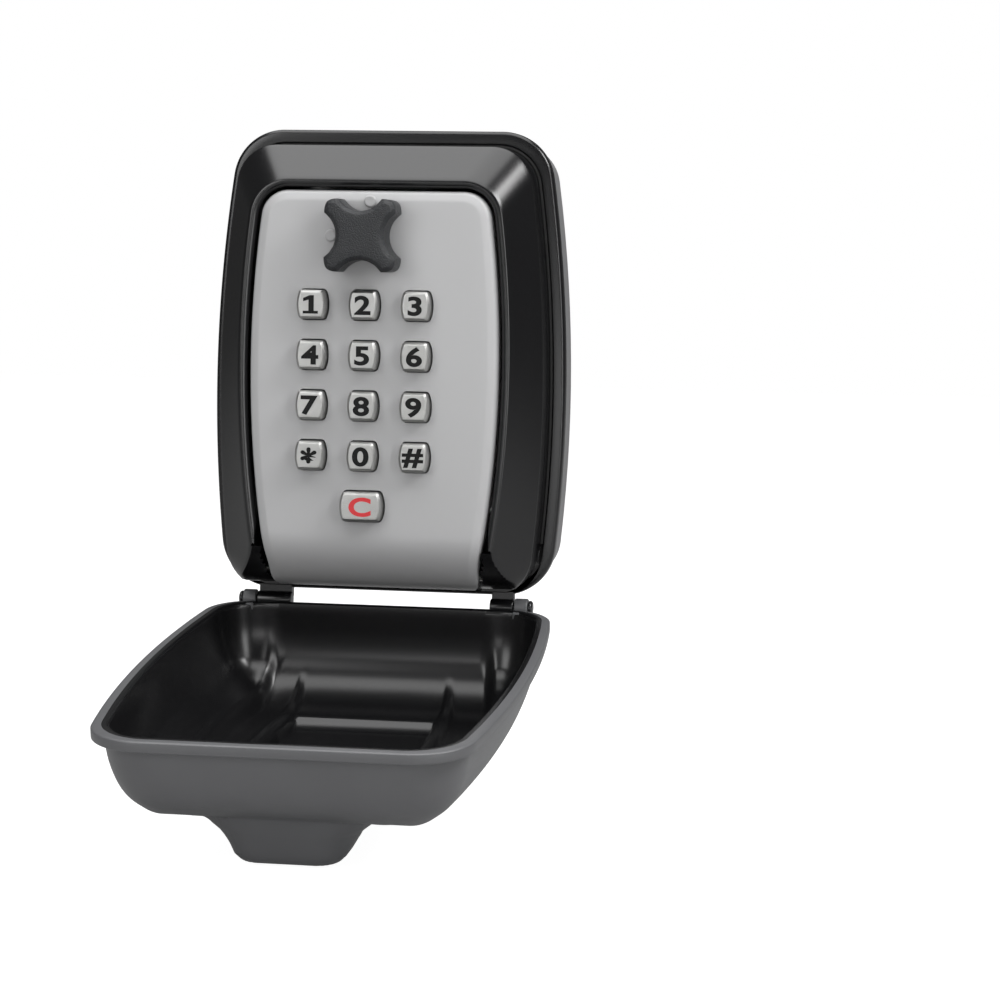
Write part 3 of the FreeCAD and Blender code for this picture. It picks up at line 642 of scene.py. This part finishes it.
def dot(name, x, z):
    """A low round stud with a dished middle; its section is in shares of radius and rise."""
    profile = [(1.0, -0.3), (1.0, 0.55), (0.93, 0.85), (0.8, 1.0), (0.6, 0.98), (0.3, 0.9)]
    sides = 40
    turn = np.linspace(0, 2 * math.pi, sides, endpoint=False)
    points = []
    for share, up in profile:
        for angle in turn:
            points.append((x + DOT_RADIUS * share * math.cos(angle), DOT_BASE + DOT_RISE * up,
                           z + DOT_RADIUS * share * math.sin(angle)))
    faces = rings_to_faces(len(profile), sides)
    faces.append(list(range((len(profile) - 1) * sides, len(profile) * sides)))
    mesh_piece(name, points, faces, DOOR_PAINT, "door")


def barrel(name, radius, left, right, ahead, height, paint, body, turn=None, bore=0.0):
    """A cylinder that lies across, with rounded ends and perhaps a bore."""
    inner = bore if bore else 0.02
    edge = 0.35
    profile = [(inner, left, 0), (radius, left, edge), (radius, right, edge), (inner, right, 0)]
    sides = 40
    angles = np.linspace(0, 2 * math.pi, sides, endpoint=False)
    points = []
    for size, x in rounded_profile(profile, 4):
        for angle in angles:
            points.append((x, ahead + size * math.cos(angle), height + size * math.sin(angle)))
    rings = len(points) // sides
    faces = rings_to_faces(rings, sides, closed=bore > 0)
    if not bore:
        faces.append(list(range(sides)))
        faces.append(list(range((rings - 1) * sides, rings * sides)))
    mesh_piece(name, points, faces, paint, body, sharp=50, turn=turn)


def knuckle_web(name, left, right):
    """The block that carries a knuckle under the frame's lower edge."""
    back, front, top, low = 25.2, 27.9, -58.5, COVER_AXIS_HEIGHT
    section = ((back, top), (front, top), (front, low), (back + 0.7, low), (back, low + 0.8))
    points = [(x, ahead, z) for x in (left, right) for ahead, z in section]
    count = len(section)
    faces = rings_to_faces(2, count)
    faces += [list(range(count)), list(range(count, 2 * count))]
    web = mesh_piece(name, points, faces, GLOSS_BLACK, "housing", sharp=40)
    soften(web, 0.25)


# ---------------------------------------------------------------- keys and knob

SIGNS = {"star": "*", "hash": "#", "clear": "C"}
ONE_WIDTH, ONE_HEIGHT = 5.2, 4.7
CAP_BACK = 46.0     # hidden behind the door's face


def key(name, base, x, z):
    """One key: a cap with bulged sides and a bevelled top, and its inlaid figure."""
    front = box_mm(name)[1][1]
    profile = rounded_profile([(0, CAP_BACK, 0), (0, front - 0.75, 0.3), (-0.62, front, 0.3),
                               (-1.4, front, 0)], 4)
    rings = []
    for grow, ahead in profile:
        rings.append(set_ahead(outline(base, grow, 24, 24) + [x, z], ahead))
    around = len(rings[0])
    faces = rings_to_faces(len(rings), around)
    faces.append(list(range((len(rings) - 1) * around, len(rings) * around)))
    mesh_piece(name + "_cap", np.vstack(rings), faces, KEY_NICKEL, name, name, sharp=60)
    label = name.removeprefix("key_")
    ink = CLEAR_INK if label == "clear" else DIGIT_INK
    figure(name, SIGNS.get(label, label), x, z, front, ink)


def numeral_one():
    """A curve of the figure 1 with its flag and foot; its corners are shares of its size."""
    curve = bpy.data.curves.new("one", "CURVE")
    curve.dimensions = "2D"
    curve.fill_mode = "BOTH"
    corners = [(-0.34, 0.0), (0.42, 0.0), (0.42, 0.15), (0.21, 0.15), (0.21, 1.0), (0.0, 1.0),
               (-0.33, 0.84), (-0.33, 0.66), (-0.06, 0.75), (-0.06, 0.15), (-0.34, 0.15)]
    spline = curve.splines.new("POLY")
    spline.points.add(len(corners) - 1)
    for point, (x, y) in zip(spline.points, corners):
        point.co = (x * ONE_WIDTH * MM, y * ONE_HEIGHT * MM, 0, 1)
    spline.use_cyclic_u = True
    return curve


def figure(key_name, text, x, z, front, ink):
    """The figure inlaid in a key's face."""
    if text == "1":
        curve = numeral_one()
        stretch = 1.0
    else:
        size, stretch = (8.4, 1.12) if text == "*" else (6.5, 1.32)
        curve = bpy.data.curves.new(key_name + "_figure", "FONT")
        curve.body = text
        curve.size = size * MM
        curve.offset = 0.21 * MM
    curve.extrude = 0.04 * MM
    curve.resolution_u = 6
    made = bpy.data.objects.new(key_name + "_figure", curve)
    bpy.context.scene.collection.objects.link(made)
    graph = bpy.context.evaluated_depsgraph_get()
    mesh = bpy.data.meshes.new_from_object(made.evaluated_get(graph))
    bpy.data.objects.remove(made)
    corners = [vertex.co for vertex in mesh.vertices]
    middle = (np.min(corners, axis=0) + np.max(corners, axis=0)) / 2
    mesh.transform(Matrix.Translation((-middle[0], -middle[1], 0)))
    mesh.transform(Matrix.Diagonal((stretch, 1, 1, 1)))
    mesh.transform(Matrix.Rotation(math.radians(90), 4, "X"))
    mesh.transform(Matrix.Translation((x * MM, -front * MM, z * MM)))
    finish_piece(key_name + "_figure", mesh, ink, key_name, sharp=30)


def knob():
    """The four-lobed knob with its bevelled, grained face."""
    low, high = box_mm("knob")
    x, z = (low[0] + high[0]) / 2, (low[2] + high[2]) / 2
    side = (high[0] - low[0]) / 2
    back, front = low[1], high[1]
    scoop, scoop_at = 6.6, 12.8     # radius of each side's hollow, and its centre's distance
    beyond = 60.0                   # stands for no hollow in a direction that misses it
    count = 240
    turn = np.linspace(0, 2 * math.pi, count, endpoint=False)

    def lobe_ring(grow):
        near = (turn + math.pi / 4) % (math.pi / 2) - math.pi / 4
        radius = scoop - grow
        reach = radius ** 2 - (scoop_at * np.sin(near)) ** 2
        arc = scoop_at * np.cos(near) - np.sqrt(np.maximum(reach, 0.0))
        arc = np.where(reach > 0, arc, beyond)
        square = (side + grow) / np.cos(near)
        diagonal = (side * 1.30 + grow) / np.cos(np.abs(near) - math.pi / 4)
        size = blend_min(blend_min(square, diagonal, 1.2), arc, 1.0)
        return np.column_stack([x + size * np.cos(turn), z + size * np.sin(turn)])

    profile = rounded_profile([(-0.3, back, 0), (0.0, back + 0.3, 0.2), (0.0, front - 1.1, 0.5),
                               (-1.0, front - 0.1, 0.5), (-2.4, front, 0)], 4)
    rings = []
    for grow, ahead in profile:
        rings.append(set_ahead(lobe_ring(grow), ahead))
    flat = rings[-1]
    centre = np.array([x, front, z])
    for share in (0.85, 0.65, 0.45, 0.25, 0.1):
        rings.append(centre + (flat - centre) * share)
    faces = rings_to_faces(len(rings), count)
    faces.append(list(range((len(rings) - 1) * count, len(rings) * count)))
    faces.append(list(range(count)))
    mesh_piece("knob_body", np.vstack(rings), faces, KNOB_GRAIN, "knob", "knob", sharp=50)


# ---------------------------------------------------------------- weather cover

COVER_AXIS_AHEAD, COVER_AXIS_HEIGHT, COVER_OPEN = 28.3, -62.8, 99.0
COVER_SKIN = 1.6
RIM_BACK = 28.3
FEATURES_X = -1.2     # the middle of the boss, the panel and the grooves
LEAN = math.tan(math.radians(2.5))
GROOVE_X, GROOVE_BOW = 22.2, 2.4
INNER_RIDGE, OUTER_EXTRA = 1.05, 1.25
BOSS_INSET = 1.05     # how much the boss shrinks inside, for each millimetre of skin
COVER_ACROSS, COVER_ALONG = 150, 190
GRID_INSET = 14.5     # where the rings from the rim end and the grid starts
BOSS_TOP, NO_BOSS = 62.3, -99.0
BOSS_SHARES = [0.0, 0.13, 0.26, 0.42, 0.65, 0.86, 1.0]     # from the boss's edge to its foot
BOSS_HEIGHTS = [61.0, 58.6, 56.8, 55.0, 53.3, 51.4, 49.8]


def wall_profile(skin):
    """The cover's section from its rim inwards, as (inset, ahead) points."""
    if skin == 0:
        corners = [(0.0, 30.9, 0), (1.2, 39.0, 26), (4.4, 45.4, 13), (11.0, 50.2, 9), (20, 50.4, 0)]
    else:
        corners = [(1.5, 28.9, 0), (2.6, 38.8, 26), (5.5, 44.2, 12), (11.0, 48.8, 7), (20, 48.9, 0)]
    return rounded_profile(corners, 10)


def rolled_front(z, radius, ahead, centre):
    """A front face that leans back upwards and rolls under below centre."""
    drop = np.maximum(centre - z, 0.0)
    above = ahead + radius - (z - centre) * LEAN
    below = ahead + np.sqrt(np.maximum(radius ** 2 - drop ** 2, 0.0))
    below -= 30.0 * np.maximum(drop - radius, 0.0)
    return np.where(z > centre, above, below)


def zone_share(x, z, skin):
    """How far the raised zone has risen at a point, from 0 at its edge to 1."""
    within = inside(ZONE, x, z) - skin
    return smooth(within / 3.4 + 0.45 + 0.08 * skin)


def panel_share(inwards, z, skin):
    """How far the panel between the grooves has risen; inwards is from a groove's middle."""
    side = smooth((inwards - 0.7 - 0.9 * skin) / 0.8)
    end = smooth((46.0 - skin - z) / 13.0)
    return side * end


def groove_depth(outwards, z, skin):
    """The depth of the bowed grooves; inside the cover they stand out as ridges."""
    depth = INNER_RIDGE * smooth((5.0 - z) / 30.0) + (OUTER_EXTRA if skin == 0 else 0.0)
    depth = depth * smooth((z + 57.0) / 8.0) * smooth((47.0 - z) / 9.0)
    width = 1.3 * np.maximum(smooth((z + 56.0) / 20.0), 0.08) + 0.5 * skin
    return depth * np.exp(-(outwards / width) ** 4)


def boss_height(x, z, skin):
    """The boss's flat top and the flanks that sweep from it down to its skirt."""
    beyond = BOSS_INSET * skin - inside(BOSS, x - FEATURES_X, z)
    to_foot = np.maximum(inside(SKIRT, x - FEATURES_X, z) - skin, 0.0)
    share = np.where(beyond > 0, beyond / np.maximum(beyond + to_foot, 1e-6), 0.0)
    sweep = np.interp(share, BOSS_SHARES, BOSS_HEIGHTS) - skin
    crown = BOSS_TOP - BOSS_INSET * skin - 1.3 * smooth((beyond + 1.6) / 1.7)
    height = np.where(beyond > 0, np.minimum(sweep, crown), crown)
    return np.where((beyond > 0) & (to_foot <= 0), NO_BOSS, height)


def cover_height(x, z, skin):
    """How far ahead the cover's surface is; skin is 0 outside and the wall's thickness inside."""
    profile = wall_profile(skin)
    height = np.interp(inside(WALL, x, z), profile[:, 0], profile[:, 1])

    zone = rolled_front(z, 18.6 - skin, RIM_BACK + 8.4, -41.5)
    height = height + np.maximum(zone - height, 0.0) * zone_share(x, z, skin)

    outwards = np.abs(x - FEATURES_X) - (GROOVE_X - GROOVE_BOW * ((z + 2.0) / 52.0) ** 2)
    if skin == 0:
        panel = rolled_front(z, 11.5, 46.8, -44.5)
    else:
        panel = rolled_front(z, 7.0, 49.5, -35.5)
    height = height + np.maximum(panel - height, 0.0) * panel_share(-outwards, z, skin)
    height = height - groove_depth(outwards, z, skin)
    return blend_max(height, boss_height(x, z, skin), 1.4)


def cover_ring(grow, share=0.0):
    """A ring of the cover: the wall's outline, or a blend of it with the bead's."""
    ring = outline(WALL, grow, COVER_ACROSS, COVER_ALONG)
    return ring * (1 - share) + outline(RIM, 0.0, COVER_ACROSS, COVER_ALONG) * share


def cover_surface(skin, first_rings):
    """One side of the cover as (points, faces): rings from the rim inwards, then a grid."""
    rings = list(first_rings)
    profile = wall_profile(skin)
    steps = np.hypot(*np.diff(profile, axis=0).T)
    length = np.concatenate([[0.0], np.cumsum(steps)])
    end = np.interp(GRID_INSET, profile[:, 0], length)
    for where in np.linspace(0.6, end, 46):
        inset = np.interp(where, length, profile[:, 0])
        ring = cover_ring(-inset)
        rings.append(set_ahead(ring, cover_height(ring[:, 0], ring[:, 1], skin)))
    around = len(rings[-1])
    inner, grid = grid_from_ring(rings[-1][:, [0, 2]], COVER_ACROSS, COVER_ALONG)
    height = cover_height(inner[:, 0], inner[:, 1], skin)
    points = np.vstack(rings + [set_ahead(inner, height)])
    faces = rings_to_faces(len(rings), around)
    start = (len(rings) - 1) * around
    faces += [[i + start for i in face] for face in grid]
    return points, faces


def bead_rings():
    """The rounded bead round the rim, from its inner edge out and over to the wall."""
    section = rounded_profile([(0.0, RIM_BACK, 0), (1.0, RIM_BACK, 0.42), (1.0, 31.0, 0.42),
                               (0.0, 31.3, 0)], 6)
    return [set_ahead(cover_ring(0.0, share), ahead) for share, ahead in section]


def inner_rim_rings():
    """The rim's back face, from the wall's outline in to its inner edge."""
    section = ((0.0, RIM_BACK), (-1.1, RIM_BACK + 0.02), (-1.4, RIM_BACK + 0.2))
    return [set_ahead(cover_ring(grow), ahead) for grow, ahead in section]


def opening():
    """The turn about the hinge that takes the closed cover to where it hangs open."""
    axis = Vector((0, -COVER_AXIS_AHEAD, COVER_AXIS_HEIGHT)) * MM
    swing = Matrix.Rotation(math.radians(COVER_OPEN), 4, "X")
    return Matrix.Translation(axis) @ swing @ Matrix.Translation(-axis)


def weather_cover():
    """The hinged cover: a thin charcoal shell, glossy black inside, with its hinge lugs."""
    outside, outside_faces = cover_surface(0.0, bead_rings())
    inner, inner_faces = cover_surface(COVER_SKIN, inner_rim_rings())
    offset = len(outside)
    faces = outside_faces + [[i + offset for i in face] for face in inner_faces]
    mesh_piece("weather_cover_shell", np.vstack([outside, inner]), faces, COVER_OUTSIDE,
               "cover", "weather_cover", sharp=50, turn=opening(),
               lining=(COVER_INSIDE, len(outside_faces)))
    lug("left", -38.2, -34.7)
    lug("right", 34.7, 38.2)


def lug(name, left, right):
    """One hinge lug of the cover: an eye round the pin and a web up to the rim."""
    barrel(f"cover_lug_{name}", 2.4, left, right, COVER_AXIS_AHEAD, COVER_AXIS_HEIGHT,
           COVER_OUTSIDE, "cover", turn=opening(), bore=1.15)
    back, front, top = 28.4, 31.2, -58.0
    web = [(left, back, -62.6), (right, back, -62.6), (right, front, -62.0),
           (left, front, -62.0), (left, back, top), (right, back, top), (right, front, top),
           (left, front, top)]
    faces = [(0, 1, 2, 3), (4, 5, 6, 7), (0, 1, 5, 4), (1, 2, 6, 5), (2, 3, 7, 6), (3, 0, 4, 7)]
    made = mesh_piece(f"cover_web_{name}", web, faces, COVER_OUTSIDE, "cover", turn=opening())
    soften(made, 0.35)


def soften(piece, width):
    """Rounds a piece's hard edges by this many millimetres."""
    bevel = piece.modifiers.new("edge", "BEVEL")
    bevel.width = width * MM
    bevel.segments = 3
    bevel.limit_method = "ANGLE"
    bevel.angle_limit = math.radians(35)


# ---------------------------------------------------------------- camera, light, floor

CAMERA_PLACE = (0.1622, -0.7989, 0.02285)     # metres
YAW, PITCH, ROLL = (math.radians(angle) for angle in (9.72, 4.21, 1.02))
WORLD_LIGHT, WORLD_SEEN = 0.10, 1.0
FLOOR_GLOW, FLOOR_SEEN = 0.16, 0.96
FLOOR_REACH = 3.0                             # metres


def camera():
    """The camera at the viewing angle: turned to the left, a little down, and rolled."""
    data = bpy.data.cameras.new("camera")
    data.lens = 108.0
    data.sensor_width = 36.0
    data.clip_end = 20.0
    made = bpy.data.objects.new("camera", data)
    bpy.context.scene.collection.objects.link(made)
    forward = Vector((-math.sin(YAW) * math.cos(PITCH), math.cos(YAW) * math.cos(PITCH),
                      -math.sin(PITCH)))
    right = forward.cross(Vector((0, 0, 1))).normalized()
    up = right.cross(forward)
    turned_up = up * math.cos(ROLL) - right * math.sin(ROLL)
    turned_right = right * math.cos(ROLL) + up * math.sin(ROLL)
    axes = Matrix((turned_right, turned_up, -forward)).transposed()
    made.matrix_world = Matrix.Translation(CAMERA_PLACE) @ axes.to_4x4()
    bpy.context.scene.camera = made


def area_light(name, place, target, width, height, power):
    """A white rectangular light at a place, facing a target, with sizes in metres."""
    data = bpy.data.lights.new(name, "AREA")
    data.shape = "RECTANGLE"
    data.size, data.size_y = width, height
    data.energy = power
    made = bpy.data.objects.new(name, data)
    bpy.context.scene.collection.objects.link(made)
    place, target = Vector(place), Vector(target)
    made.matrix_world = (Matrix.Translation(place)
                         @ (target - place).to_track_quat("-Z", "Y").to_matrix().to_4x4())


def seen_and_lit(tree, socket, lit, seen):
    """Sets a strength that is seen to the camera and lit to every other ray."""
    path = tree.nodes.new("ShaderNodeLightPath")
    strength = tree.nodes.new("ShaderNodeMapRange")
    strength.inputs["To Min"].default_value = lit
    strength.inputs["To Max"].default_value = seen
    tree.links.new(path.outputs["Is Camera Ray"], strength.inputs["Value"])
    tree.links.new(strength.outputs["Result"], socket)


def lights():
    """Five soft lights and a dim white world that looks white itself."""
    area_light("overhead", (-0.05, -0.22, 0.85), (-0.05, -0.1, 0), 0.9, 1.2, 12.0)
    area_light("upper_right", (0.62, -0.28, 0.52), (0, -0.04, 0), 0.30, 0.30, 5.0)
    area_light("right", (0.75, -0.75, 0.05), (0, -0.04, 0), 0.25, 0.8, 3.5)
    area_light("front_left", (-0.6, -1.1, 0.35), (0, -0.04, 0), 0.5, 0.6, 4.0)
    area_light("front_low", (0.1, -1.2, -0.2), (0, -0.08, -0.06), 0.8, 0.4, 4.0)

    world = bpy.data.worlds.new("studio")
    bpy.context.scene.world = world
    world.use_nodes = True
    tree = world.node_tree
    background = tree.nodes["Background"]
    background.inputs["Color"].default_value = (1, 1, 1, 1)
    seen_and_lit(tree, background.inputs["Strength"], WORLD_LIGHT, WORLD_SEEN)
    bpy.context.scene.view_settings.view_transform = "Standard"


def floor():
    """A pale floor a millimetre under the lowest point."""
    low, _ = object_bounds()
    height = low.z - MM
    corners = [(FLOOR_REACH * x, FLOOR_REACH * y, height)
               for x, y in ((-1, -1), (1, -1), (1, 1), (-1, 1))]
    mesh = bpy.data.meshes.new("floor")
    mesh.from_pydata(corners, [], [(0, 1, 2, 3)])
    paint, tree, shader = material("floor_white", (0.30, 0.30, 0.30), 0.8)
    shader.inputs["Emission Color"].default_value = (1, 1, 1, 1)
    seen_and_lit(tree, shader.inputs["Emission Strength"], FLOOR_GLOW, FLOOR_SEEN)
    mesh.materials.append(paint)
    made = bpy.data.objects.new("floor", mesh)
    bpy.context.scene.collection.objects.link(made)
    made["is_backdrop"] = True


# ---------------------------------------------------------------- CAD nodes that stay

# the nodes that aren't named here are bright steel
NODE_MATERIALS = {
    "rear_housing": HOUSING_COAT, "wall_gasket": BLACK_RUBBER, "frame_seal": BLACK_RUBBER,
    "cover_pin_left": BLACK_PIN, "cover_pin_right": BLACK_PIN, "lock_case": CAST_ZINC,
    "lock_back_cover": CAST_ZINC, "cam_disc": CAST_ZINC, "spindle_bush": TURNED_BRASS,
    "code_tabs": TURNED_BRASS,
}
BROKEN_EDGE = 0.25


def dress_cad_nodes():
    """Gives each CAD node that stays its finish and softly broken edges."""
    for name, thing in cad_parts.items():
        thing.data.materials.clear()
        thing.data.materials.append(NODE_MATERIALS.get(name, BRIGHT_STEEL))
        if name.startswith("spring_"):
            continue
        weld = thing.modifiers.new("weld", "WELD")
        weld.merge_threshold = 2 * SAME_POINT
        bevel = thing.modifiers.new("edge", "BEVEL")
        bevel.width = BROKEN_EDGE * MM
        bevel.segments = 2
        bevel.limit_method = "ANGLE"
        bevel.angle_limit = math.radians(40)
        bevel.use_clamp_overlap = True
        normals = thing.modifiers.new("normals", "WEIGHTED_NORMAL")
        normals.keep_sharp = True


dress_cad_nodes()
front_frame()
door()
for place in key_places():
    key(*place)
knob()
weather_cover()
for side, left, right in (("left", -34.4, -25.2), ("right", 28.2, 34.4)):
    barrel(f"frame_knuckle_{side}", 2.1, left, right, COVER_AXIS_AHEAD, COVER_AXIS_HEIGHT,
           GLOSS_BLACK, "housing")
    knuckle_web(f"frame_web_{side}", left + 0.2, right - 0.2)
camera()
lights()
floor()
